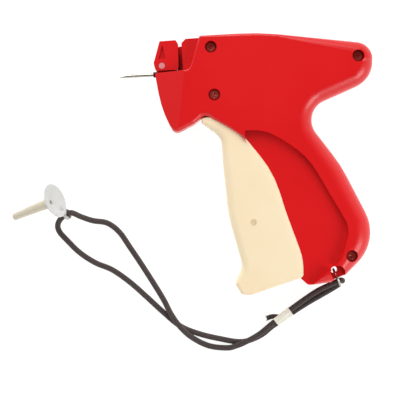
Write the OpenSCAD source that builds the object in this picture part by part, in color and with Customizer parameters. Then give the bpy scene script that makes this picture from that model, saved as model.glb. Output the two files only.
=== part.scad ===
// Tag attaching gun: two casing halves, a straddling trigger, a lever-driven ejector and a wrist cord.
// The gun lies on its right side on the ground, with its needle along -X and its top towards +Y.

/* [Casing] */
// Thickness of the closed casing
casing_t = 26; // [25:0.5:28]
// Wall thickness of the casing halves
wall = 2.1; // [1.8:0.1:2.2]
// Distance from the middle plane to the sunk side panels of the handle
panel_h = 8.3; // [8:0.1:8.3]
// Half thickness of the narrow neck and of the needle gate
neck_h = 8; // [7.5:0.1:8.2]

/* [Needle] */
// Height of the needle line above the gun's middle
needle_y = 52.8; // [52.6:0.1:53]
// Free length of the needle in front of the nose
needle_free = 21; // [16:0.5:24]
// Outer radius of the needle
needle_r = 1.0; // [0.95:0.01:1.05]
// Radius of the ejector rod that runs inside the needle
rod_r = 0.55; // [0.5:0.01:0.56]

/* [Trigger] */
// Distance from the middle plane to the outside of the trigger
trigger_h = 10.6; // [10.3:0.1:10.6]

/* [Screws] */
// Radius of the screw counterbores
bore_r = 3.3; // [3:0.1:3.4]
// Radius of the screw heads
head_r = 2.5; // [2.3:0.1:2.9]
// Radius of the screw shanks
shank_r = 1.3; // [1.2:0.1:1.4]

/* [Wrist cord] */
// Diameter of the cord
cord_d = 3.2; // [3:0.1:3.2]

/* [Hidden] */

$fn = 48;
eps = 0.01;
mid = casing_t / 2;                 // height of the parting plane, and half the thickness
cavity_h = mid - wall;              // half depth of the head's hollow
works_h = panel_h - wall;           // half depth of the hollow between the handle panels

trigger_pivot = [-18, 39.4];
lever_pivot = [17, -2];
trigger_pin = [6.4, -34.3];         // cross pin in the trigger that drives the lever
slide_pin_x = 35;
gate_hinge = [-46.3, 57.1];
wheel_centre = [-30.6, 43.6];
pawl_pivot = [-31.5, 31.8];
spring_post = [57, 45];
boss_r = 4.6;                       // screw bosses in the casing
hub_r = 6.2;                        // trigger's hub, and half its length
hub_h = 7.9;
arm_h = 6.6;                        // inside of the trigger's arms
tube_r = 4;                         // pivot tube in the trigger's hub, its bore and half its length
tube_bore_r = 3;
tube_h = 7.8;
pin_r = 1.5;                        // pins in the trigger and in the slide
pin_h = 5.8;                        // half length of the trigger's cross pin
ear_h = 2.6;                        // inside of the ears that hold it
lever_pin_r = 2;
lever_h = 1.8;                      // half thickness of the lever
lever_boss_r = 4;                   // lever's boss on its pin, and half its length
lever_fork_l = 61.5;                // from the lever's pin to the end of its fork, and to that of its foot
lever_foot_l = 36;
fork_gap = 1.85;                    // half widths of the slots in the fork and in the foot
foot_gap = 2.7;
spring_hole_l = 38;                 // from the lever's pin to the spring's hole
slide_l = 8;                        // half length, half width and half thickness of the slide
slide_w = 4.3;
slide_h = 4.6;
wheel_r = 3.6;                      // root radius and half thickness of the feed wheel
wheel_h = 1.5;
tooth_l = 0.9;
pawl_h = 1.4;                       // half thickness of the feed pawl
axle_r = 1.2;
pawl_pin_r = 1;
gate_pin_r = 1.75;
needle_bore_r = 0.62;
nose_x = -50.5;                     // front of the nose on the needle line
needle_end = -37.6;
needle_seat_r = 0.8;                // where the needle sits in its base
play = 0.05;                        // clearance of a turning part on its pin
shaft_h = works_h + 0.5;            // shafts reach this far into both casing halves
// Screws: x, y, height of the head's seat above the parting plane
screws = [[-18.6, 66, 7.5], [-18, 39.4, 9.4], [62.8, 56.9, 6.5], [53.6, -54, 6.5]];
head_l = 1.3;                       // thickness of their heads

ring_r = 4.8;                       // mean radius of the strap ring
ring_wire = 0.6;
ring_tilt = -69.4;                  // direction of the ring's plane, seen from above
ring_centre = [45.2, -65.6, 12];

// Outlines, clockwise. Each corner is x, y, corner radius, edge rounding width, edge rounding height.
casing_corners = [
    [-50.4, 53.2, 0.6, 0.5, 0.5], [-31, 54, 4, 0.8, 0.8], [-24.6, 72.4, 1.2, 1, 1],
    [8, 72.6, 150, 1.5, 1.5], [71, 63.5, 9.5, 6, 6], [71, 43.9, 15, 8, 8],
    [28.8, 27.7, 11.8, 8, 8], [50.4, -2.8, 80, 9, 9], [70.2, -46.3, 24, 9, 9],
    [46, -67.6, 10, 6, 6], [28.6, -68.9, 3, 2, 2], [21.5, -61.5, 3, 0.6, 0.6],
    [2.5, -8, 60, 0.6, 0.6], [-3, 15.2, 1, 0.8, 0.8], [-13.5, 22.6, 60, 1.5, 1.5],
    [-23.8, 28.4, 3.5, 3, 3], [-30, 23.9, 12, 2.6, 2.6], [-41.2, 18.7, 3.4, 3, 3],
    [-47.6, 32.5, 60, 1, 1]];
trigger_corners = [
    [-25.8, 26.8, 0.8, 0.7, 0.7], [-21, 27.6, 4, 0.8, 0.8], [-5, 18.6, 30, 1.5, 1],
    [12.5, -5, 60, 5, 1.6], [18.5, -28, 90, 5, 1.6], [26.6, -54, 30, 5, 1.6],
    [26.2, -64.3, 2.6, 2.2, 1.4], [-3.5, -72.8, 2, 1.6, 1.6], [-8.6, -72.2, 2, 1.8, 2],
    [-12, -66, 2.4, 2.2, 3], [-7, -57, 10, 4, 4.5], [-13.6, -28, 70, 4.5, 4.5],
    [-15, 0, 90, 4.5, 4.5], [-15.2, 15.6, 9, 4.5, 4.5], [-25.8, 24.6, 0.8, 0.7, 0.7]];
arm_corners = [[-24.2, 39.4, 0], [-22.6, 24.6, 0], [-8, 20, 0], [-11.8, 39.4, 0]];
// Ears behind the trigger's front wall, which reach into the handle and hold the cross pin
ear_corners = [[-12.6, -26.5, 0], [6.4, -29.5, 3], [11, -34.3, 3.2], [6.4, -39, 3], [-9.6, -40.5, 0]];
// Sunk side panel of the handle, which the trigger's side plates slide into
panel_corners = [[-2.2, 18.6, 0], [9.5, 18.6, 25], [31.5, 3.3, 45], [53.4, -38.5, 15],
    [47.5, -56.5, 14], [27, -72, 0], [-40, -72, 0], [-40, -10, 0], [-2.2, 0, 0]];
// Hollow for the works, inset from the casing's outline and open towards the trigger
works_corners = [[-46.5, 46, 3], [-30, 50, 0], [-22, 55, 2], [-21.5, 69, 2], [8, 69.8, 150],
    [67.5, 61.5, 7], [67, 46.5, 10], [24.2, 28.5, 14], [47.6, -4.5, 80], [65.8, -44, 21],
    [44, -60.5, 4], [34, -64.5, 4], [14, -64, 0], [-6, -10, 0], [-12, 16, 0], [-25.5, 32, 3],
    [-39.3, 24.5, 2], [-44.6, 34, 0]];
head_corners = [[-22, 58, 2], [-18, 67.4, 2], [8, 67.6, 150], [63, 59.6, 4], [63, 47.5, 4],
    [33, 36, 8], [14, 22, 0], [4, 18.9, 0], [-14, 18.9, 0], [-25.2, 24, 0], [-25.2, 31, 0],
    [-33, 40, 0], [-33, 49, 0]];
neck_corners = [[-34.6, 53, 0], [-34.8, 69.2, 0.6], [-32.4, 71.4, 1], [-22, 71.6, 0], [-22, 53, 0]];
gate_corners = [[-46.9, 70.8, 0.5], [-37.9, 71, 0.5], [-36.6, 68.6, 0.4], [-37.1, 55.8, 0],
    [-38.2, 54.5, 1], [-49.6, 54.5, 1.6], [-50.3, 56.2, 1.2], [-50.8, 58.8, 1.2]];

// Cord route, as x, y, z: from behind the ring, through it and the crimp, round the big loop and back.
cord_route = [
    [48.6, -68, 9.2], [47.7, -67.6, 10.8], [46, -67.9, 11.5], [42, -69.6, 10.9], [34.6, -72.8, 9],
    [27.6, -77, 7.2], [20.6, -81.6, 5.9], [14, -86.1, 5.3], [7.6, -90.6, 5.1], [0.2, -96, 4.9],
    [-8, -100, 4.8], [-13, -101.8, 3.6], [-18, -102.8, 1.9], [-28, -101.2, 1.6], [-37, -96.2, 3],
    [-43.5, -89.8, 5.2], [-48.5, -82.2, 5.2], [-52.5, -73.5, 3.2], [-58, -63.5, 1.6], [-64, -53, 1.6],
    [-70, -43, 1.6], [-75.5, -34.2, 1.6], [-82, -28.8, 1.6], [-90, -27, 2], [-96.3, -24.5, 4.6],
    [-101.7, -21.9, 8], [-106, -23.4, 7.4], [-109.6, -27.4, 4.4], [-109.4, -32, 2.2],
    [-105, -37.6, 1.6], [-98.5, -44.6, 1.6], [-90, -50.8, 1.6], [-80.5, -55.4, 1.6], [-71, -62.8, 1.6],
    [-62, -71.6, 1.6], [-53, -80.8, 1.6], [-44, -89, 1.6], [-34, -93.8, 1.6], [-22, -97.4, 1.6],
    [-9.5, -99.8, 1.6], [0.7, -97, 1.7], [8.4, -91.7, 1.9], [15.2, -87.8, 2.1], [22, -83.4, 2.6],
    [29.4, -79.2, 3.6], [36.9, -75.3, 5], [43.7, -71.7, 6.2], [47, -69.7, 6.9]];
crimp_at = [14.6, -86.95];
crimp_turn = 34;
crimp_l = 10.4;
cap_tip = [-134.4, -22.6];
cap_turn = 18;
cap_drop = 29;                      // slope of the cap's stem down to its tip
cap_l = 28;
cap_disc_r = 9.8;
cap_eye = [8.9, -9.4];               // cord's hole in the disc, below and beside the stem
cap_eye_r = 2;

// Points along one rounded corner b between its neighbours a and c, as x, y, normal x, normal y, corner.
function unit(v) = v / norm(v);
function corner_arc(a, b, c, step) =
    let (u = unit([a[0] - b[0], a[1] - b[1]]), v = unit([c[0] - b[0], c[1] - b[1]]), r = b[2],
        half = acos(max(-1, min(1, u * v))) / 2, side = u[0] * v[1] - u[1] * v[0] > 0 ? 1 : -1)
    r == 0 ? [let (m = unit(u + v) * -side) [b[0], b[1], m[0], m[1], b]]
    : let (o = [b[0], b[1]] + unit(u + v) * r / sin(half), first = [b[0], b[1]] + u * r / tan(half) - o,
        turn = (180 - 2 * half) * -side, n = max(1, ceil(abs(turn) / step)))
    [for (i = [0:n]) let (t = turn * i / n, p = [first[0] * cos(t) - first[1] * sin(t),
        first[0] * sin(t) + first[1] * cos(t)]) [o[0] + p[0], o[1] + p[1], p[0] / r * side,
        p[1] / r * side, b]];
function outline(corners, step = 8) = let (n = len(corners))
    [for (i = [0:n - 1]) each corner_arc(corners[(i + n - 1) % n], corners[i], corners[(i + 1) % n], step)];
function flat(points) = [for (p = points) [p[0], p[1]]];

// A plate with a rounded outline: outline corners, underside and topside heights.
module plate(corners, low, high, step = 8) {
    translate([0, 0, low]) linear_extrude(high - low) polygon(flat(outline(corners, step)));
}

// A body on the parting plane, with its outer edges rounded by each corner's own width and height.
// whole gives both halves. resize() keeps the size: it hands the body over as one cleaned mesh.
module rounded_body(corners, h, whole = false, rings = 6, step = 8) {
    line = outline(corners, step);
    n = len(line);
    half = [for (k = [0:rings]) let (a = k * 90 / rings) [for (p = line)
        let (in = p[4][3] * (1 - cos(a))) [p[0] - p[2] * in, p[1] - p[3] * in, h - p[4][4] * (1 - sin(a))]]];
    below = whole ? [for (k = [rings:-1:0]) [for (p = half[k]) [p[0], p[1], -p[2]]]]
        : [[for (p = half[0]) [p[0], p[1], 0]]];
    rows = concat(below, half);
    m = len(rows);
    resize([0, 0, 0]) polyhedron([for (r = rows) each r], concat(
        [[for (i = [0:n - 1]) n - 1 - i]], [[for (i = [0:n - 1]) (m - 1) * n + i]],
        [for (k = [0:m - 2]) for (i = [0:n - 1]) let (j = (i + 1) % n)
            each [[k * n + i, k * n + j, (k + 1) * n + i], [k * n + j, (k + 1) * n + j, (k + 1) * n + i]]]));
}

module rod(r, low, high) { translate([0, 0, low]) cylinder(r = r, h = high - low); }
module at(p) { translate([p[0], p[1], 0]) children(); }
module box(low, high) { translate(low) cube(high - low); }
module along_x(x0, x1, r) { translate([x0, needle_y, 0]) rotate([0, 90, 0]) cylinder(r = r, h = x1 - x0); }
// Puts a part drawn on the parting plane at its real height
module raised() { translate([0, 0, mid]) children(); }

// The strap pocket at the foot of the handle, seen along the ring's plane
module strap_pocket() {
    at([45.4, -63]) {
        rod(4.1, 2, mid + 1);
        rotate(ring_tilt) box([0, -3.4, 2], [9, 3.4, mid + 1]);
    }
    at([43.6, -61.2]) rod(1.9, -1, mid);
    at(ring_centre) rotate(ring_tilt) box([0.4, -4, -1], [9, 4, mid]);
}

// What stands inside the hollow: screw bosses, strap web, spring post, pin bosses and the slide's rails
module casing_insides() {
    for (s = screws) at(s) {
        rod(s == screws[1] ? 3 : boss_r, 0, mid);
        rod(boss_r, s == screws[1] ? panel_h + 0.5 : works_h, mid);
    }
    plate([[38, -66, 0], [38, -56, 0], [47, -56, 0], [52, -61, 0], [47, -66, 0]], 0, mid - 3.5);
    at(spring_post) rod(2.2, 0, mid);
    at(lever_pivot) rod(4, 4.2, mid);
    at(wheel_centre) rod(2.6, 2, mid);
    at(pawl_pivot) rod(2.2, 2, mid);
    box([-6, 46.2, 2.8], [47, 48.2, mid]);
    box([-6, 57.4, 2.8], [47, 59.4, mid]);
}
// The hollow behind the skin: works, head and the slit that the trigger's arms swing in
module casing_hollow() {
    difference() {
        union() {
            plate(works_corners, -1, works_h);
            difference() {
                plate(head_corners, -1, cavity_h);
                box([-60, 60, works_h], [-22, 80, mid]);
            }
            box([-20, 12, panel_h - eps], [13, 22, cavity_h]);
        }
        casing_insides();
    }
}
// Shell of one half, drawn above the parting plane, before its round holes are drilled.
// The far half carries the wall behind the feed slot.
module casing_shell(far) {
    resize([0, 0, 0]) difference() {
        union() {
            rounded_body(casing_corners, mid);
            plate(neck_corners, 0, neck_h);
            // Lug that carries the needle gate
            at(gate_hinge) rod(2.9, 0, 2.2);
            box([-49, 53, 0], [-43.4, 57, 2.2]);
            if (far) {
                box([-36.3, 53.5, 4], [-33, 68.2, neck_h + 1]);
                box([-39.5, 55, neck_h + 0.2], [-33, 68.2, neck_h + 1]);
            }
        }
        plate(panel_corners, panel_h, mid + 1);
        // Slanted face of the nose
        translate([-35.2, 46, mid]) rotate([0, 0, -8]) rotate([0, -16, 0]) box([-30, -60, 0], [0, 60, 20]);
        casing_hollow();
        strap_pocket();
        // Feed channel down through the nose, and the seats of the needle's base, the blade and the rod
        box([-37.4, 16, -1], [-34.6, 70, 2.2]);
        box([-49, 51, -1], [-37, 54.6, 2.1]);
        along_x(-60, -48, 1.6);
        box([-38.2, 45, -1], [-34.4, 51.2, 3.2]);
        box([-36, 49, -1], [-20, 56, 1.2]);
    }
}
module casing_half(far) {
    difference() {
        casing_shell(far);
        for (s = screws) {
            at(s) rod(far ? shank_r : shank_r + 0.2, -1, far ? 8 : mid);
            if (!far) at(s) rod(bore_r, s[2], mid + 1);
        }
        at(lever_pivot) rod(lever_pin_r, -1, shaft_h);
        at(wheel_centre) rod(axle_r, -1, shaft_h);
        at(pawl_pivot) rod(pawl_pin_r, -1, shaft_h);
        at(gate_hinge) rod(gate_pin_r, -1, 3);
        along_x(-49, -20, needle_r);
    }
}

module left_casing() { color("#E0181B") raised() casing_half(false); }
module right_casing() { color("#E0181B") raised() mirror([0, 0, 1]) casing_half(true); }

// Trigger: a channel that straddles the handle, with two arms up to a hub on the pivot tube.
module trigger_room() {
    difference() {
        plate([[-23, 22.5, 0], [-12.5, 15.5, 0], [-12.3, 0, 0], [-10.9, -28, 0], [-6, -56, 0],
            [-8.4, -66, 0], [-6, -69, 0], [-6, -80, 0], [40, -80, 0], [40, 40, 0], [-23, 40, 0]],
            -panel_h - 0.2, panel_h + 0.2);
        at(trigger_pivot) rod(hub_r, -hub_h, hub_h);
        for (m = [0, 1]) mirror([0, 0, m]) {
            plate(arm_corners, arm_h, mid);
            plate(ear_corners, ear_h, pin_h);
        }
    }
}
module trigger() {
    color("#FBE8C6") raised() difference() {
        union() {
            rounded_body(trigger_corners, trigger_h, true);
            at(trigger_pivot) rod(hub_r, -hub_h, hub_h);
            for (m = [0, 1]) mirror([0, 0, m]) plate(arm_corners, arm_h, panel_h + 0.2);
        }
        trigger_room();
        at(trigger_pivot) rod(tube_r + play, -mid, mid);
        at(trigger_pin) rod(pin_r, -pin_h, pin_h);
    }
}
module trigger_pivot_tube() {
    color("#C9CCD1") raised() at(trigger_pivot) difference() {
        rod(tube_r, -tube_h, tube_h);
        rod(tube_bore_r, -mid, mid);
    }
}
module trigger_cross_pin() { color("#C9CCD1") raised() at(trigger_pin) rod(pin_r, -pin_h, pin_h); }

// Drive lever: pivots in the handle, its slotted foot rides on the trigger's pin, its fork moves the slide.
module lever_slot(from, to, r) { hull() { at(from) rod(r, -mid, mid); at(to) rod(r, -mid, mid); } }
module drive_lever() {
    top = [slide_pin_x, needle_y] - lever_pivot;
    foot = trigger_pin - lever_pivot;
    up = unit(top);
    down = unit(foot);
    color("#8E9196") raised() at(lever_pivot) difference() {
        union() {
            rod(lever_boss_r, -lever_boss_r, lever_boss_r);
            hull() { rod(3.6, -lever_h, lever_h); at(up * lever_fork_l) rod(3.2, -lever_h, lever_h); }
            hull() { rod(3.6, -lever_h, lever_h); at(down * lever_foot_l) rod(4.6, -lever_h, lever_h); }
        }
        rod(lever_pin_r + play, -mid, mid);
        lever_slot(up * (lever_fork_l - 8), up * (lever_fork_l + 4.5), fork_gap);
        lever_slot(down * (lever_foot_l - 12.6), down * (lever_foot_l + 0.6), foot_gap);
        at(up * spring_hole_l) rod(0.8, -mid, mid);
    }
}
module drive_lever_pin() { color("#C9CCD1") raised() at(lever_pivot) rod(lever_pin_r, -shaft_h, shaft_h); }

// Slide: a block between the casing's rails, with a slot for the lever and the rod fixed in its nose.
module slide_carriage() {
    color("#F1F1EC") raised() difference() {
        box([slide_pin_x - slide_l, needle_y - slide_w, -slide_h],
            [slide_pin_x + slide_l, needle_y + slide_w, slide_h]);
        box([slide_pin_x - slide_l + 2, needle_y - mid, -lever_h - 0.3],
            [slide_pin_x + slide_l - 2, needle_y + mid, lever_h + 0.3]);
        at([slide_pin_x, needle_y]) rod(pin_r, -mid, mid);
        along_x(slide_pin_x - mid, slide_pin_x - 5, rod_r);
    }
}
module slide_cross_pin() {
    color("#C9CCD1") raised() at([slide_pin_x, needle_y]) rod(pin_r, -slide_h, slide_h);
}
module ejector_rod() { color("#C9CCD1") raised() along_x(-33.4, slide_pin_x - 6, rod_r); }

// Coiled tension spring between the lever and the post in the rear of the head.
function helix(r, pitch, turns, i, n) = [r * cos(360 * i / n), r * sin(360 * i / n), pitch * i / n];
function dot_off(u, t) = unit(u - (u * t) * t);
// Rings of a tube that follows points; u is carried along, so the tube doesn't twist.
function tangents(p) = let (n = len(p)) [for (i = [0:n - 1]) unit(p[min(n - 1, i + 1)] - p[max(0, i - 1)])];
function carried(t, u0) = [for (i = 0, u = dot_off(u0, t[0]); i < len(t);
    i = i + 1, u = i < len(t) ? dot_off(u, t[i]) : u) u];
module tube(p, r, u0, sides = 8) {
    t = tangents(p);
    u = carried(t, u0);
    n = len(p);
    polyhedron([for (i = [0:n - 1]) for (k = [0:sides - 1]) let (a = 360 * k / sides)
        p[i] + r * (cos(a) * u[i] + sin(a) * cross(t[i], u[i]))], concat(
        [[for (k = [0:sides - 1]) k]], [[for (k = [0:sides - 1]) n * sides - 1 - k]],
        [for (i = [0:n - 2]) for (k = [0:sides - 1]) let (a = i * sides + k, b = i * sides + (k + 1) % sides)
            each [[a, a + sides, b], [b, a + sides, b + sides]]]));
}
module return_spring() {
    hook = lever_pivot + unit([slide_pin_x, needle_y] - lever_pivot) * spring_hole_l;
    span = spring_post - hook;
    long = norm(span) - 11.5;
    turns = 8;
    steps = 8;
    color("#B8BBC0") raised() at(hook + unit(span) * 7.5) rotate([0, 0, atan2(span[1], span[0])])
        rotate([0, 90, 0]) tube([for (i = [0:turns * steps]) helix(2.4, long / turns, turns, i, steps)],
            0.4, [1, 0, 0], 5);
}

// Star wheel that moves the strip of tags down, its axle, its pawl and the pawl's spring.
teeth = 16;
module feed_wheel() {
    color("#F1F1EC") raised() at(wheel_centre) difference() {
        union() {
            rod(wheel_r, -wheel_h, wheel_h);
            for (i = [0:teeth - 1]) rotate(i * 360 / teeth) translate([0, 0, -wheel_h])
                linear_extrude(2 * wheel_h) polygon([[3, -0.7], [wheel_r + tooth_l, -0.15],
                    [wheel_r + tooth_l, 0.15], [3, 0.7]]);
        }
        rod(axle_r + play, -mid, mid);
    }
}
module feed_wheel_axle() { color("#C9CCD1") raised() at(wheel_centre) rod(axle_r, -shaft_h, shaft_h); }
module feed_pawl() {
    tip = wheel_centre - [0, wheel_r + tooth_l] - pawl_pivot;
    color("#F1F1EC") raised() at(pawl_pivot) difference() {
        union() {
            rod(2.2, -pawl_h, pawl_h);
            translate([0, 0, -pawl_h]) linear_extrude(2 * pawl_h) polygon([[-1.9, 1],
                [tip[0] - 0.9, tip[1] - 2.2], [tip[0] + 0.2, tip[1] - 0.4], [tip[0] + 1.6, tip[1] - 2.4],
                [2.1, 0.6]]);
        }
        rod(pawl_pin_r + play, -mid, mid);
    }
}
module feed_pawl_pin() { color("#C9CCD1") raised() at(pawl_pivot) rod(pawl_pin_r, -shaft_h, shaft_h); }
module pawl_spring() {
    color("#B8BBC0") raised() translate([0, 0, -1.2]) linear_extrude(2.4)
        polygon([[-27.2, 31.9], [-26.8, 31.9], [-26.6, 36.4], [-28.8, 36.8], [-28.8, 36.4], [-27, 36.1]]);
}
module feed_track() {
    color("#B8BBC0") raised() difference() {
        box([-37.3, 24, -2.1], [-35.2, 50.8, 2.1]);
        box([-36.8, 20, -1.6], [-34, 52, 1.6]);
    }
}
module cutter_blade() {
    color("#C9CCD1") raised() difference() {
        box([-38.1, 45.2, -3], [-37.5, 51.1, 3]);
        translate([-38.2, 51.1, 0]) rotate([0, 90, 0]) cylinder(r = 1.2, h = 1);
    }
}

// Needle: a slotted steel tube with a slanted point, held by its base under the gate.
module needle() {
    tip = nose_x - needle_free;
    color("#BFC3C8") raised() difference() {
        union() {
            along_x(tip, nose_x - 1.1, needle_r);
            along_x(nose_x - 1.2, needle_end, needle_seat_r);
        }
        along_x(tip - 1, needle_end + 1, needle_bore_r);
        box([tip - 1, needle_y - 0.25, 0], [needle_end + 1, needle_y + 0.25, 2]);
        translate([tip, needle_y - needle_r, 0]) rotate([0, 0, 17]) box([-4, 0, -2], [8, 4, 2]);
    }
}
module needle_base() {
    color("#4A4C50") raised() difference() {
        union() {
            box([-48.8, 51.2, -1.9], [-37.8, 54.4, 1.9]);
            along_x(-51.4, -48.8, 1.5);
        }
        along_x(-60, -30, needle_seat_r);
    }
}

// Needle gate: swings up on its pin to let the needle out.
module gate_half() {
    difference() {
        plate(gate_corners, 0, neck_h);
        at(gate_hinge) rod(gate_pin_r + play, -eps, neck_h + 1);
        at(gate_hinge) rod(3.3, -eps, 2.5);
        box([-60, 50, -eps], [-42.9, 57.1, 2.5]);
        box([-43, 50, -eps], [-36, 54.9, 2.5]);
    }
}
module needle_gate() {
    color("#E0181B") raised() difference() {
        union() {
            gate_half();
            mirror([0, 0, 1]) gate_half();
        }
        // Sunk arrow that points the way the gate opens
        for (m = [0, 1]) mirror([0, 0, m]) translate([0, 0, neck_h - 1.6]) linear_extrude(2)
            polygon([[-45.5, 68.6], [-44, 61], [-48, 61]]);
    }
}
module gate_pin() { color("#D9A9A9") raised() at(gate_hinge) rod(gate_pin_r, -neck_h, neck_h); }

module casing_screws() {
    color("#9A9DA2") raised() for (s = screws) at(s) difference() {
        union() {
            rod(shank_r, -7.5, s[2] + eps);
            rod(head_r, s[2], s[2] + head_l);
        }
        for (a = [0, 90]) rotate(a) box([-1.5, -0.35, s[2] + 0.5], [1.5, 0.35, s[2] + 2]);
    }
}

// Strap ring, the cord that runs through it, the crimp that doubles the cord and the needle's cap.
module strap_ring() {
    color("#C9CCD1") translate(ring_centre) rotate([0, 0, ring_tilt]) rotate([90, 0, 0])
        rotate_extrude() translate([ring_r, 0]) circle(r = ring_wire);
}
module wrist_cord() { color("#403A39") tube(cord_route, cord_d / 2, [0.352, -0.936, 0.1]); }
module cord_crimp() {
    color("#E8E8E0") at(crimp_at) rotate([0, 0, crimp_turn]) difference() {
        box([-crimp_l / 2, -2.8, 0.1], [crimp_l / 2, 2.8, 7.3]);
        box([-crimp_l / 2 - 1, -2.4, 0.5], [crimp_l / 2 + 1, 2.4, 6.9]);
    }
}
module needle_cap() {
    color("#E4E4E0") translate([cap_tip[0], cap_tip[1], 2.15]) rotate([0, 0, cap_turn])
        rotate([0, 90 - cap_drop, 0]) difference() {
            union() {
                cylinder(r1 = 2.1, r2 = 2.9, h = cap_l);
                translate([0, 0, cap_l - 1]) linear_extrude(1.8) union() {
                    circle(r = cap_disc_r);
                    polygon([[2, -9], [cap_eye[0] + 3.4, cap_eye[1] - 1.2], [cap_eye[0] - 0.6,
                        cap_eye[1] + 3.4], [-2, -9]]);
                    translate(cap_eye) circle(r = cap_eye_r + 1.1);
                }
            }
            translate([0, 0, 3]) cylinder(r = needle_r + 0.2, h = cap_l);
            translate([cap_eye[0], cap_eye[1], cap_l - 2]) cylinder(r = cap_eye_r, h = 5);
        }
}

left_casing();
right_casing();
trigger();
trigger_pivot_tube();
trigger_cross_pin();
drive_lever();
drive_lever_pin();
slide_carriage();
slide_cross_pin();
ejector_rod();
return_spring();
feed_wheel();
feed_wheel_axle();
feed_pawl();
feed_pawl_pin();
pawl_spring();
feed_track();
cutter_blade();
needle();
needle_base();
needle_gate();
gate_pin();
casing_screws();
strap_ring();
wrist_cord();
cord_crimp();
needle_cap();
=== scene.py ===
import math

import bmesh
import bpy
from mathutils import Matrix, Vector


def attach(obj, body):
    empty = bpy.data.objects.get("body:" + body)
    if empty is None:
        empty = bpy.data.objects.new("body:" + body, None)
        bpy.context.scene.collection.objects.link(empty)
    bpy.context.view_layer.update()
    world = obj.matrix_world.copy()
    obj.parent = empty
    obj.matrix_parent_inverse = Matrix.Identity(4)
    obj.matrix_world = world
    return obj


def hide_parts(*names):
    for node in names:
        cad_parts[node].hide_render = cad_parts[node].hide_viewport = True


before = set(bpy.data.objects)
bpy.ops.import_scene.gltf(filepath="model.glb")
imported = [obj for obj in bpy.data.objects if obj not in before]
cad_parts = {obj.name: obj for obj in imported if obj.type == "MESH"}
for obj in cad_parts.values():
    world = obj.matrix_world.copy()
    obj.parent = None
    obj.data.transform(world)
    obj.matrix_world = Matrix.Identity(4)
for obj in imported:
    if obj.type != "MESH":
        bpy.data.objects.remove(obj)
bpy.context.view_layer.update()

# Copy stand: the gun lies on a plain white table, and a long lens looks straight down at it.
# The camera is turned 3 degrees, so the needle lies a little off level.
stand_height = 1.133
stand_turn = math.radians(-3)
camera = bpy.data.objects.new("camera", bpy.data.cameras.new("camera"))
bpy.context.scene.collection.objects.link(camera)
camera.data.lens = 180
camera.data.sensor_width = 36
camera.data.clip_start = 0.01
camera.location = (-0.0290, -0.0185, stand_height)
camera.rotation_euler = (0, 0, stand_turn)
bpy.context.scene.camera = camera


# Colours are written as sRGB hex and turned to linear here.
def linear(hex_colour, alpha=1.0):
    parts = [int(hex_colour[i:i + 2], 16) / 255 for i in (1, 3, 5)]
    return tuple(p / 12.92 if p <= 0.04045 else ((p + 0.055) / 1.055) ** 2.4 for p in parts) + (alpha,)


# One node with its settings and its links: links maps an input to a value or to another node's output.
def add_node(tree, kind, settings=None, **links):
    node = tree.nodes.new(kind)
    for name, value in (settings or {}).items():
        setattr(node, name, value)
    for name, value in links.items():
        socket = node.inputs[int(name[1:]) if name[1:].isdigit() else name.replace("_", " ")]
        if isinstance(value, bpy.types.NodeSocket):
            tree.links.new(value, socket)
        else:
            socket.default_value = value
    return node


def new_material(name):
    material = bpy.data.materials.new(name)
    material.use_nodes = True
    material.node_tree.nodes.clear()
    return material, material.node_tree


def put_in_scene(name, mesh, body, material):
    piece = bpy.data.objects.new(name, mesh)
    bpy.context.scene.collection.objects.link(piece)
    mesh.materials.clear()
    mesh.materials.append(material)
    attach(piece, body)
    return piece


# Light table: a smooth, matt white board lit from below, so it gives only a faint shadow under the gun.
board = bmesh.new()
bmesh.ops.create_grid(board, x_segments=2, y_segments=2, size=3)
board_mesh = bpy.data.meshes.new("table_top")
board.to_mesh(board_mesh)
board.free()
table_top = bpy.data.objects.new("table_top", board_mesh)
bpy.context.scene.collection.objects.link(table_top)
table_top.location.z = -0.0002
melamine, tree = new_material("melamine_matt_board")
where = add_node(tree, "ShaderNodeTexCoord")
speckle = add_node(tree, "ShaderNodeTexNoise", Vector=where.outputs["Object"], Scale=60.0, Detail=3.0)
shade = add_node(tree, "ShaderNodeMix", {"data_type": "RGBA"}, _0=speckle.outputs["Fac"],
                 _6=linear("#8C8C8C"), _7=linear("#949494"))
surface = add_node(tree, "ShaderNodeBsdfPrincipled", Base_Color=shade.outputs[2], Roughness=0.8,
                   Specular_IOR_Level=0.2, Emission_Color=linear("#FFFFFF"), Emission_Strength=0.9)
add_node(tree, "ShaderNodeOutputMaterial", Surface=surface.outputs[0])
board_mesh.materials.append(melamine)

# Studio light: a white room with a dim ceiling, so that the glossy plastic keeps its colour, and two large
# soft boxes, the stronger one beyond the head of the gun.
room = bpy.data.worlds.new("white_room")
room.use_nodes = True
room.node_tree.nodes.clear()
facing = add_node(room.node_tree, "ShaderNodeTexCoord")
rise = add_node(room.node_tree, "ShaderNodeSeparateXYZ", Vector=facing.outputs["Generated"])
fall = add_node(room.node_tree, "ShaderNodeMapRange", Value=rise.outputs["Z"], From_Min=0.35, From_Max=0.95,
                To_Min=0.95, To_Max=0.12)
backdrop = add_node(room.node_tree, "ShaderNodeBackground", Color=(1, 1, 1, 1), Strength=fall.outputs[0])
add_node(room.node_tree, "ShaderNodeOutputWorld", Surface=backdrop.outputs[0])
bpy.context.scene.world = room
for name, spot, watts, size in (("soft_box_head", (-0.15, 0.75, 0.7), 6.5, 0.7),
                                ("soft_box_foot", (0.65, -0.5, 0.55), 4.0, 0.5)):
    lamp = bpy.data.objects.new(name, bpy.data.lights.new(name, "AREA"))
    bpy.context.scene.collection.objects.link(lamp)
    lamp.data.energy = watts
    lamp.data.size = size
    lamp.location = spot
    lamp.rotation_euler = (-Vector(spot)).to_track_quat("-Z", "Y").to_euler()
bpy.context.scene.view_settings.view_transform = "Standard"

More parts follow.
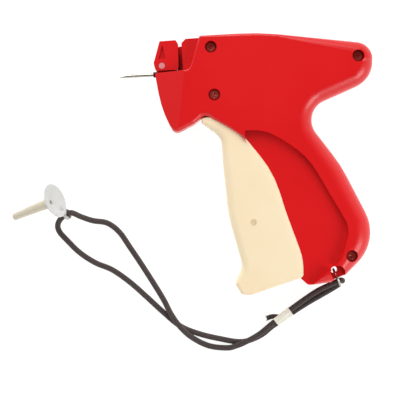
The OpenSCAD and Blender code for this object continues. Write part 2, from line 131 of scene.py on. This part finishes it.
# Wrist cord: 3.2 mm round braid of black polyester, one length doubled through the strap ring.
# It runs from the ring through the crimp, round the needle cap's eye and back to the ring.
cord_route = [
    (48.6, -68, 9.2), (47.7, -67.6, 10.8), (46, -67.9, 11.5), (42, -69.6, 10.9), (34.6, -72.8, 9),
    (27.6, -77, 7.2), (20.6, -81.6, 5.9), (14, -86.1, 5.3), (7.6, -90.6, 5.1), (0.2, -96, 4.9),
    (-8, -100, 4.8), (-13, -101.8, 3.6), (-18, -102.8, 1.9), (-28, -101.2, 1.6), (-37, -96.2, 3),
    (-43.5, -89.8, 5.2), (-48.5, -82.2, 5.2), (-52.5, -73.5, 3.2), (-58, -63.5, 1.6), (-64, -53, 1.6),
    (-70, -43, 1.6), (-75.5, -34.2, 1.6), (-82, -28.8, 1.6), (-90, -27, 2), (-96.3, -24.5, 4.6),
    (-101.7, -21.9, 8), (-106, -23.4, 7.4), (-109.6, -27.4, 4.4), (-109.4, -32, 2.2),
    (-105, -37.6, 1.6), (-98.5, -44.6, 1.6), (-90, -50.8, 1.6), (-80.5, -55.4, 1.6), (-71, -62.8, 1.6),
    (-62, -71.6, 1.6), (-53, -80.8, 1.6), (-44, -89, 1.6), (-34, -93.8, 1.6), (-22, -97.4, 1.6),
    (-9.5, -99.8, 1.6), (0.7, -97, 1.7), (8.4, -91.7, 1.9), (15.2, -87.8, 2.1), (22, -83.4, 2.6),
    (29.4, -79.2, 3.6), (36.9, -75.3, 5), (43.7, -71.7, 6.2), (47, -69.7, 6.9)]
cord_radius = 0.0016


def eased(points, steps):
    """Points of a smooth curve through the given points."""
    out = []
    last = len(points) - 1
    for i in range(last):
        a, b, c, d = points[max(0, i - 1)], points[i], points[i + 1], points[min(last, i + 2)]
        for k in range(steps):
            s = k / steps
            out.append(0.5 * (2 * b + (c - a) * s + (2 * a - 5 * b + 4 * c - d) * s * s
                              + (3 * b - a - 3 * c + d) * s ** 3))
    return out + [points[last]]


def braided_tube(name, line, radius, sides, closed_ends=True):
    """A tube along a line, with a UV map that runs round it and along it at one scale."""
    sleeve = bmesh.new()
    along = [(line[min(i + 1, len(line) - 1)] - line[max(i - 1, 0)]).normalized() for i in range(len(line))]
    across = along[0].orthogonal().normalized()
    rings, run, runs = [], 0.0, []
    for i, point in enumerate(line):
        across = (across - along[i] * across.dot(along[i])).normalized()
        up = along[i].cross(across)
        run += (point - line[i - 1]).length if i else 0.0
        runs.append(run / (2 * math.pi * radius))
        rings.append([sleeve.verts.new(point + radius * (math.cos(t) * across + math.sin(t) * up))
                      for t in (2 * math.pi * k / sides for k in range(sides))])
    uv = sleeve.loops.layers.uv.new("braid")
    for i in range(len(rings) - 1):
        for k in range(sides):
            j = (k + 1) % sides
            face = sleeve.faces.new((rings[i][k], rings[i][j], rings[i + 1][j], rings[i + 1][k]))
            face.smooth = True
            for loop, spot in zip(face.loops, ((k, i), (k + 1, i), (k + 1, i + 1), (k, i + 1))):
                loop[uv].uv = (spot[0] / sides, runs[spot[1]])
    if closed_ends:
        sleeve.faces.new(reversed(rings[0]))
        sleeve.faces.new(rings[-1])
    mesh = bpy.data.meshes.new(name)
    sleeve.to_mesh(mesh)
    sleeve.free()
    return mesh


# Polyester braid: matt, with a little sheen. Its colour follows the braid's relief as painted shade: darker
# in the grooves between the carriers and lighter on the crown of each one, with a random fuzz of tone. Its
# carriers are 0.9 mm apart, drawn a third coarser than the real ones so that they show.
polyester, tree = new_material("polyester_round_braid")
where = add_node(tree, "ShaderNodeUVMap", {"uv_map": "braid"})
parts = add_node(tree, "ShaderNodeSeparateXYZ", Vector=where.outputs[0])
lays = []
for operation in ("ADD", "SUBTRACT"):
    slant = add_node(tree, "ShaderNodeMath", {"operation": operation}, _0=parts.outputs["X"],
                     _1=parts.outputs["Y"])
    turn = add_node(tree, "ShaderNodeMath", {"operation": "MULTIPLY"}, _0=slant.outputs[0], _1=8.0 * math.pi)
    wave = add_node(tree, "ShaderNodeMath", {"operation": "SINE"}, _0=turn.outputs[0])
    lays.append(add_node(tree, "ShaderNodeMath", {"operation": "ABSOLUTE"}, _0=wave.outputs[0]))
over = add_node(tree, "ShaderNodeMath", {"operation": "MULTIPLY"}, _0=lays[0].outputs[0],
                _1=lays[1].outputs[0])
fuzz = add_node(tree, "ShaderNodeTexNoise", Vector=where.outputs[0], Scale=40.0, Detail=4.0)
relief_and_crease_shade = add_node(tree, "ShaderNodeMath", {"operation": "MULTIPLY_ADD"}, _0=fuzz.outputs["Fac"], _1=0.35,
                  _2=over.outputs[0])
# Painted shade: the grooves between the carriers are coloured near black and the crowns brown
shade = add_node(tree, "ShaderNodeMix", {"data_type": "RGBA"}, _0=relief_and_crease_shade.outputs[0],
                 _6=linear("#1E1817"), _7=linear("#584A47"))
bump = add_node(tree, "ShaderNodeBump", Strength=0.9, Distance=0.00035, Height=relief_and_crease_shade.outputs[0])
surface = add_node(tree, "ShaderNodeBsdfPrincipled", Base_Color=shade.outputs[2], Roughness=0.8,
                   Sheen_Weight=0.1, Normal=bump.outputs[0])
add_node(tree, "ShaderNodeOutputMaterial", Surface=surface.outputs[0])

centreline = eased([Vector(p) / 1000 for p in cord_route], 9)
cord_mesh = braided_tube("braided_wrist_cord", centreline, cord_radius, 20)
wrist_cord = put_in_scene("braided_wrist_cord", cord_mesh, "casing", polyester)
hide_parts("wrist_cord")

# The cut end of the cord that stands out of the crimp: the same braid, pulled a little thinner, with nine
# loose fibres spread round its end, where the knife frayed it.
stub_route = ((11.6, -86.6, 4.0), (9.0, -86.3, 3.9), (6.9, -86.6, 3.7), (5.4, -87.2, 3.5))
stub_radius = 0.00135
fibres = 9
stub_line = eased([Vector(p) / 1000 for p in stub_route], 6)
stub_mesh = braided_tube("cut_cord_end", stub_line, stub_radius, 16)
fray = bmesh.new()
fray.from_mesh(stub_mesh)
for k in range(fibres):
    turn = k * 2.4
    root = stub_line[-1] + Vector((0.0004, 0.0009 * math.cos(turn), 0.0009 * math.sin(turn)))
    spread = turn + 0.6
    reach = Vector((-0.0009 - 0.0002 * (k % 3), 0.0008 * math.cos(spread), 0.0007 * math.sin(spread)))
    fibre = bmesh.ops.create_cone(fray, segments=6, radius1=0.00022, radius2=0.00009, depth=reach.length,
                                  cap_ends=True)["verts"]
    lean = reach.to_track_quat("Z", "Y").to_matrix().to_4x4()
    bmesh.ops.transform(fray, matrix=Matrix.Translation(root + reach / 2) @ lean, verts=fibre)
fray.to_mesh(stub_mesh)
fray.free()
cord_stub = put_in_scene("cut_cord_end", stub_mesh, "casing", polyester)

# Cord crimp: a strip of bright tinned steel sheet, folded round both strands and pressed shut.
# It is open at both ends, with the lips of the fold meeting on top.
crimp_long, crimp_wide, crimp_tall, sheet = 0.0104, 0.0056, 0.0072, 0.0004
crimp_turn = math.radians(34)
fold = bmesh.new()
bmesh.ops.create_cube(fold, size=1.0)
bmesh.ops.scale(fold, vec=(crimp_long, crimp_wide, crimp_tall), verts=fold.verts)


def lengthwise(mesh):
    """The edges that run along the sleeve."""
    return [e for e in mesh.edges if abs((e.verts[0].co - e.verts[1].co).normalized().x) > 0.9]


bmesh.ops.bevel(fold, geom=lengthwise(fold), offset=0.0010, offset_type="OFFSET", affect="EDGES", segments=5,
                profile=0.5, material=-1)
bmesh.ops.delete(fold, geom=[f for f in fold.faces if abs(f.normal.x) > 0.9], context="FACES")
bmesh.ops.subdivide_edges(fold, edges=lengthwise(fold), cuts=9, use_grid_fill=True)
for vert in fold.verts:
    pinch = math.exp(-((abs(vert.co.x) - 0.0024) / 0.0008) ** 2)
    flare = max(0.0, abs(vert.co.x) - 0.0044) / 0.0008
    vert.co.z *= 1 - 0.05 * pinch + 0.02 * flare
    vert.co.y *= 1 - 0.03 * pinch + 0.03 * flare
bmesh.ops.recalc_face_normals(fold, faces=fold.faces)
bmesh.ops.solidify(fold, geom=fold.faces[:], thickness=sheet)
seam = bmesh.ops.create_cube(fold, size=1.0)["verts"]
bmesh.ops.scale(fold, vec=(crimp_long * 0.96, 0.0011, 0.0005), verts=seam)
bmesh.ops.translate(fold, vec=(0, 0.0002, crimp_tall / 2 - 0.0002), verts=seam)
bmesh.ops.bevel(fold, geom=list({e for v in seam for e in v.link_edges}), offset=0.00018,
                offset_type="OFFSET", affect="EDGES", segments=2, profile=0.5, material=-1)
crimp_place = Matrix.Translation((0.0146, -0.08695, 0.0037)) @ Matrix.Rotation(crimp_turn, 4, "Z")
bmesh.ops.transform(fold, matrix=crimp_place, verts=fold.verts)
crimp_mesh = bpy.data.meshes.new("folded_crimp")
fold.to_mesh(crimp_mesh)
fold.free()
crimp_mesh.shade_smooth()
crimp_mesh.set_sharp_from_angle(angle=math.radians(40))

# Tinned steel: bright, with the fine lines of the rolled sheet and small dents from the pliers.
tin, tree = new_material("tinned_steel_pressed")
where = add_node(tree, "ShaderNodeTexCoord")
stretch = add_node(tree, "ShaderNodeMapping", Vector=where.outputs["Object"], Rotation=(0, 0, crimp_turn),
                   Scale=(300, 3000, 3000))
lines = add_node(tree, "ShaderNodeTexNoise", Vector=stretch.outputs[0], Scale=1.0, Detail=2.0)
dents = add_node(tree, "ShaderNodeTexNoise", Vector=where.outputs["Object"], Scale=260.0, Detail=1.0)
both = add_node(tree, "ShaderNodeMath", {"operation": "MULTIPLY_ADD"}, _0=lines.outputs["Fac"], _1=0.15,
                _2=dents.outputs["Fac"])
rough = add_node(tree, "ShaderNodeMapRange", Value=lines.outputs["Fac"], To_Min=0.42, To_Max=0.55)
bump = add_node(tree, "ShaderNodeBump", Strength=0.12, Distance=0.0002, Height=both.outputs[0])
surface = add_node(tree, "ShaderNodeBsdfPrincipled", Base_Color=linear("#FFFDEE"), Metallic=0.2,
                   Roughness=rough.outputs[0], Normal=bump.outputs[0])
add_node(tree, "ShaderNodeOutputMaterial", Surface=surface.outputs[0])
folded_crimp = put_in_scene("folded_crimp", crimp_mesh, "casing", tin)
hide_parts("cord_crimp")

# Needle cap: natural nylon, moulded in one piece. A tapered stem covers the needle, the thin dished disc
# is pushed with a thumb, and the eye at its rim holds the cord.
cap_place = (Matrix.Translation((-0.1344, -0.0226, 0.00215)) @ Matrix.Rotation(math.radians(18), 4, "Z")
             @ Matrix.Rotation(math.radians(61), 4, "Y"))
cap = bmesh.new()
# Radius and height in millimetres: round the tip, up the stem, out under the disc, back and down the hole
cap_profile = ((0.0, 0.0), (1.5, 0.0), (1.95, 0.25), (2.1, 0.7), (2.9, 25.0), (3.2, 25.7), (3.9, 26.1),
               (6.0, 26.8), (8.4, 28.2), (9.6, 29.3), (9.8, 29.7), (9.6, 29.95), (9.2, 29.8), (8.1, 28.9),
               (5.9, 27.7), (3.8, 27.1), (2.0, 26.9), (1.35, 26.7), (1.2, 26.3), (1.2, 3.0), (0.6, 2.6),
               (0.0, 2.6))
outline = [cap.verts.new((r / 1000, 0, h / 1000)) for r, h in cap_profile]
edges = [cap.edges.new(pair) for pair in zip(outline, outline[1:])]
bmesh.ops.spin(cap, geom=outline + edges, cent=(0, 0, 0), axis=(0, 0, 1), angle=2 * math.pi, steps=64,
               use_merge=True)
bmesh.ops.remove_doubles(cap, verts=cap.verts, dist=0.00001)
bmesh.ops.recalc_face_normals(cap, faces=cap.faces)
# Eye: a thick ring beside the disc, with a cone-shaped mouth where the cord goes in
eye_x, eye_y, eye_height = 0.0089, -0.0094, 0.0282
eye_foot = Vector((eye_x, eye_y, eye_height - 0.0012))
eye_profile = ((2.0, 0.0), (2.9, 0.0), (3.15, 0.3), (3.2, 1.4), (3.05, 1.8), (2.75, 1.9), (2.0, 0.9))
ring_outline = [cap.verts.new(eye_foot + Vector((r, 0, h)) / 1000) for r, h in eye_profile]
ring_edges = [cap.edges.new(pair) for pair in zip(ring_outline, ring_outline[1:] + ring_outline[:1])]
bmesh.ops.spin(cap, geom=ring_outline + ring_edges, cent=(eye_x, eye_y, eye_height), axis=(0, 0, 1),
               angle=2 * math.pi, steps=40, use_merge=True)
web = bmesh.ops.create_cube(cap, size=1.0)["verts"]
bmesh.ops.scale(cap, vec=(0.0026, 0.0048, 0.0013), verts=web)
web_turn = Matrix.Rotation(math.atan2(eye_y, eye_x) + math.pi / 2, 3, "Z")
bmesh.ops.rotate(cap, cent=(0, 0, 0), matrix=web_turn, verts=web)
bmesh.ops.translate(cap, vec=(0.0064, -0.0068, eye_height), verts=web)
bmesh.ops.bevel(cap, geom=list({e for v in web for e in v.link_edges}), offset=0.0004, offset_type="OFFSET",
                affect="EDGES", segments=2, profile=0.5, material=-1)
bmesh.ops.recalc_face_normals(cap, faces=cap.faces)
bmesh.ops.transform(cap, matrix=cap_place, verts=cap.verts)
cap_mesh = bpy.data.meshes.new("nylon_needle_cap")
cap.to_mesh(cap_mesh)
cap.free()
cap_mesh.shade_smooth()
cap_mesh.set_sharp_from_angle(angle=math.radians(35))

# Natural nylon: milky, lets light into its skin, and its stem looks warmer where it is thick.
nylon, tree = new_material("natural_nylon_moulded")
where = add_node(tree, "ShaderNodeTexCoord")
turned = add_node(tree, "ShaderNodeMapping", {"vector_type": "TEXTURE"}, Vector=where.outputs["Object"],
                  Location=tuple(cap_place.translation), Rotation=tuple(cap_place.to_euler()))
height = add_node(tree, "ShaderNodeSeparateXYZ", Vector=turned.outputs[0])
thick = add_node(tree, "ShaderNodeMapRange", Value=height.outputs["Z"], From_Min=0.0245, From_Max=0.0268)
flow = add_node(tree, "ShaderNodeTexNoise", Vector=where.outputs["Object"], Scale=250.0, Detail=3.0)
blotch = add_node(tree, "ShaderNodeMapRange", Value=flow.outputs["Fac"], To_Min=0.9, To_Max=1.04)
shade = add_node(tree, "ShaderNodeMix", {"data_type": "RGBA"}, _0=thick.outputs[0], _6=linear("#E2D8C0"),
                 _7=linear("#D6D8D6"))
toned = add_node(tree, "ShaderNodeMix", {"data_type": "RGBA", "blend_type": "MULTIPLY"}, _0=1.0,
                 _6=shade.outputs[2], _7=blotch.outputs[0])
bump = add_node(tree, "ShaderNodeBump", Strength=0.15, Distance=0.0002, Height=flow.outputs["Fac"])
surface = add_node(tree, "ShaderNodeBsdfPrincipled", Base_Color=toned.outputs[2], Roughness=0.34, IOR=1.53,
                   Transmission_Weight=0.12, Subsurface_Weight=0.25, Subsurface_Radius=(1.0, 0.95, 0.85),
                   Subsurface_Scale=0.002, Normal=bump.outputs[0])
add_node(tree, "ShaderNodeOutputMaterial", Surface=surface.outputs[0])
needle_cap = put_in_scene("nylon_needle_cap", cap_mesh, "casing", nylon)
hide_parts("needle_cap")


# Moulded and machined parts keep their modelled shape. Each visible one is a welded copy with its sharp
# edges broken by a small radius, as a mould or a file leaves them.
def with_broken_edges(name, node, body, material, radius, angle=32, steps=2):
    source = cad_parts[node].data.copy()
    work = bmesh.new()
    work.from_mesh(source)
    bmesh.ops.remove_doubles(work, verts=work.verts, dist=0.000002)
    bmesh.ops.dissolve_limit(work, angle_limit=math.radians(0.6), verts=work.verts, edges=work.edges)
    work.to_mesh(source)
    work.free()
    source.name = name
    source.shade_smooth()
    source.set_sharp_from_angle(angle=math.radians(angle))
    piece = put_in_scene(name, source, body, material)
    if radius:
        broken = piece.modifiers.new("broken_edges", "BEVEL")
        broken.width = radius
        broken.segments = steps
        broken.limit_method = "ANGLE"
        broken.angle_limit = math.radians(angle)
        broken.use_clamp_overlap = True
        broken.material = -1
    # Large flat faces keep their own normal, so no shading fans run across them
    flat_first = piece.modifiers.new("flat_faces_first", "WEIGHTED_NORMAL")
    flat_first.keep_sharp = True
    flat_first.weight = 90
    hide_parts(node)


# Casing: two halves injection moulded in glossy red ABS, screwed together on a parting line.
# The skin is polished, with a faint orange peel and a slightly deeper red in its flow marks.
def glossy_abs(name, dark, light, peel, roughness, skin=0.0):
    material, tree = new_material(name)
    where = add_node(tree, "ShaderNodeTexCoord")
    flow = add_node(tree, "ShaderNodeTexNoise", Vector=where.outputs["Object"], Scale=22.0, Detail=3.0)
    fine = add_node(tree, "ShaderNodeTexNoise", Vector=where.outputs["Object"], Scale=peel, Detail=2.0)
    shade = add_node(tree, "ShaderNodeMix", {"data_type": "RGBA"}, _0=flow.outputs["Fac"], _6=linear(dark),
                     _7=linear(light))
    rough = add_node(tree, "ShaderNodeMapRange", Value=flow.outputs["Fac"], To_Min=roughness - 0.04,
                     To_Max=roughness + 0.06)
    bump = add_node(tree, "ShaderNodeBump", Strength=0.12, Distance=0.0001, Height=fine.outputs["Fac"])
    surface = add_node(tree, "ShaderNodeBsdfPrincipled", Base_Color=shade.outputs[2], IOR=1.53,
                       Roughness=rough.outputs[0], Subsurface_Weight=skin,
                       Subsurface_Radius=(1.0, 0.6, 0.35), Subsurface_Scale=0.002, Normal=bump.outputs[0])
    add_node(tree, "ShaderNodeOutputMaterial", Surface=surface.outputs[0])
    return material


red_abs = glossy_abs("abs_red_polished", "#D1060B", "#DD0A10", 900.0, 0.3)
shell_edge = 0.0003
for side in ("left", "right"):
    with_broken_edges(side + "_casing_shell", side + "_casing", "casing", red_abs, shell_edge)

# Trigger: one injection moulding in cream ABS, a channel that straddles the handle.
# A small round mark on its side is where the mould's ejector pushed it out.
cream_abs = glossy_abs("abs_cream_polished", "#F3DDB6", "#FBE9C8", 700.0, 0.34, 0.12)
with_broken_edges("cream_trigger", "trigger", "trigger", cream_abs, 0.0004)
mark = bmesh.new()
mark_profile = ((0, 0.1), (1.2, 0.1), (1.3, 0.22), (1.6, 0.22), (1.75, -0.1))
rim = [mark.verts.new((r / 1000, 0, h / 1000)) for r, h in mark_profile]
rim_edges = [mark.edges.new(pair) for pair in zip(rim, rim[1:])]
bmesh.ops.spin(mark, geom=rim + rim_edges, cent=(0, 0, 0), axis=(0, 0, 1), angle=2 * math.pi, steps=32,
               use_merge=True)
bmesh.ops.remove_doubles(mark, verts=mark.verts, dist=0.00001)
bmesh.ops.recalc_face_normals(mark, faces=mark.faces)
bmesh.ops.translate(mark, vec=(0.0002, -0.0323, 0.0236), verts=mark.verts)
mark_mesh = bpy.data.meshes.new("ejector_mark")
mark.to_mesh(mark_mesh)
mark.free()
mark_mesh.shade_smooth()
mark_mesh.set_sharp_from_angle(angle=math.radians(35))
shaded_cream = glossy_abs("abs_cream_pressed_mark", "#D8C29C", "#E2CDA8", 700.0, 0.3, 0.1)
put_in_scene("ejector_mark", mark_mesh, "trigger", shaded_cream)

# Needle gate: red ABS block that swings up on its pin, with a sunk arrow that points the way.
with_broken_edges("red_needle_gate", "needle_gate", "gate", red_abs, 0.00025)
pale_acetal = glossy_abs("acetal_pale_turned", "#D07C80", "#DE9094", 1200.0, 0.35)
with_broken_edges("pale_gate_pin", "gate_pin", "casing", pale_acetal, 0.0002)


# Steel parts: drawn, turned or stamped, each with lines that run the way it was worked.
def worked_steel(name, colour, low, high, lines=(900, 900, 120)):
    material, tree = new_material(name)
    where = add_node(tree, "ShaderNodeTexCoord")
    stretch = add_node(tree, "ShaderNodeMapping", Vector=where.outputs["Object"], Scale=lines)
    grain = add_node(tree, "ShaderNodeTexNoise", Vector=stretch.outputs[0], Scale=2.0, Detail=3.0)
    rough = add_node(tree, "ShaderNodeMapRange", Value=grain.outputs["Fac"], To_Min=low, To_Max=high)
    bump = add_node(tree, "ShaderNodeBump", Strength=0.15, Distance=0.0001, Height=grain.outputs["Fac"])
    surface = add_node(tree, "ShaderNodeBsdfPrincipled", Base_Color=linear(colour), Metallic=1.0,
                       Roughness=rough.outputs[0], Normal=bump.outputs[0])
    add_node(tree, "ShaderNodeOutputMaterial", Surface=surface.outputs[0])
    return material


# Needle: slotted tube of ground stainless steel with a slanted point, in a blackened steel base.
ground_steel = worked_steel("stainless_steel_ground", "#C9C4BA", 0.22, 0.38, (120, 1500, 1500))
black_steel = worked_steel("steel_oil_blackened", "#2C2A2B", 0.35, 0.55)
with_broken_edges("slotted_needle", "needle", "casing", ground_steel, 0.00004)
with_broken_edges("needle_base_block", "needle_base", "casing", black_steel, 0.00015)
with_broken_edges("tag_cutter_blade", "cutter_blade", "casing", ground_steel, 0.00004)

# Screws: zinc plated pan heads with a cross recess, sunk in deep counterbores of the left half. Their metal
# is coloured red, a painted reflection of the red counterbore walls round them.
red_reflection_screw_metal = worked_steel("screw_steel_painted_red_reflection", "#C85A50", 0.3, 0.45, (700, 700, 700))
with_broken_edges("casing_screws_cross", "casing_screws", "casing", red_reflection_screw_metal, 0.0002)

# Strap ring: nickel plated steel wire, bent round and passed through the foot of the handle.
nickel_wire = worked_steel("nickel_plated_wire", "#B9B6AE", 0.14, 0.26, (600, 600, 600))
with_broken_edges("wire_strap_ring", "strap_ring", "ring", nickel_wire, 0.0)

# Works inside the casing: turned steel pins, a stamped lever, drawn spring wire, and a slide, a feed wheel
# and a pawl moulded in white acetal.
turned_steel = worked_steel("carbon_steel_turned", "#A2A4A8", 0.25, 0.4)
spring_steel = worked_steel("spring_steel_drawn", "#8B8D92", 0.25, 0.4)
white_acetal = glossy_abs("acetal_white_moulded", "#E8E8E2", "#F2F2EE", 900.0, 0.4, 0.1)
for node, body, slot, material, radius in (
        ("trigger_pivot_tube", "casing", "plain_steel", turned_steel, 0.0002),
        ("trigger_cross_pin", "trigger", "plain_steel", turned_steel, 0.0002),
        ("drive_lever", "lever", "plain_steel", turned_steel, 0.0002),
        ("drive_lever_pin", "casing", "plain_steel", turned_steel, 0.0002),
        ("slide_carriage", "slide", "white_nylon", white_acetal, 0.0003),
        ("slide_cross_pin", "slide", "plain_steel", turned_steel, 0.0002),
        ("ejector_rod", "slide", "plain_steel", spring_steel, 0.00005),
        ("return_spring", "casing", "spring_wire", spring_steel, 0.0),
        ("feed_wheel", "feed_wheel", "white_nylon", white_acetal, 0.0001),
        ("feed_wheel_axle", "casing", "plain_steel", turned_steel, 0.0001),
        ("feed_pawl", "pawl", "white_nylon", white_acetal, 0.0002),
        ("feed_pawl_pin", "casing", "plain_steel", turned_steel, 0.0001),
        ("pawl_spring", "casing", "spring_wire", spring_steel, 0.00005),
        ("feed_track", "casing", "plain_steel", turned_steel, 0.0001)):
    with_broken_edges(node + "_part", node, body, material, radius)
